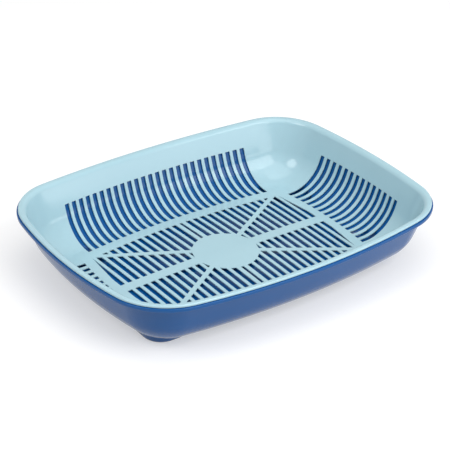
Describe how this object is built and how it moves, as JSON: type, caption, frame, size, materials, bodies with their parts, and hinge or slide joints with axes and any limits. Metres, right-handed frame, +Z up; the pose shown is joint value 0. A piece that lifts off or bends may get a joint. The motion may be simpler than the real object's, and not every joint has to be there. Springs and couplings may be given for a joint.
{
  "type": "mesh litter tray",
  "caption": "Low rounded rectangular litter tray: a slotted sieve insert with a wide flange hangs by its rim in a matching outer tray with moulded feet.",
  "frame": {"origin": "centre of the tray's outline, on the surface that its feet stand on", "axes": "+X along the tray's length, +Y across it, +Z up"},
  "size_m": [0.3728, 0.2828, 0.0643],
  "materials": {
    "deep_blue_plastic": "satin",
    "pale_blue_plastic": "satin"
  },
  "bodies": {
    "tray": {"outer_tray": "deep_blue_plastic"},
    "insert": {"sieve_insert": "pale_blue_plastic"}
  },
  "joints": [
    {"name": "insert_lift", "type": "slide", "parent": "tray", "child": "insert", "axis": [0, 0, 1], "range_m": [0, 0.12]}
  ]
}
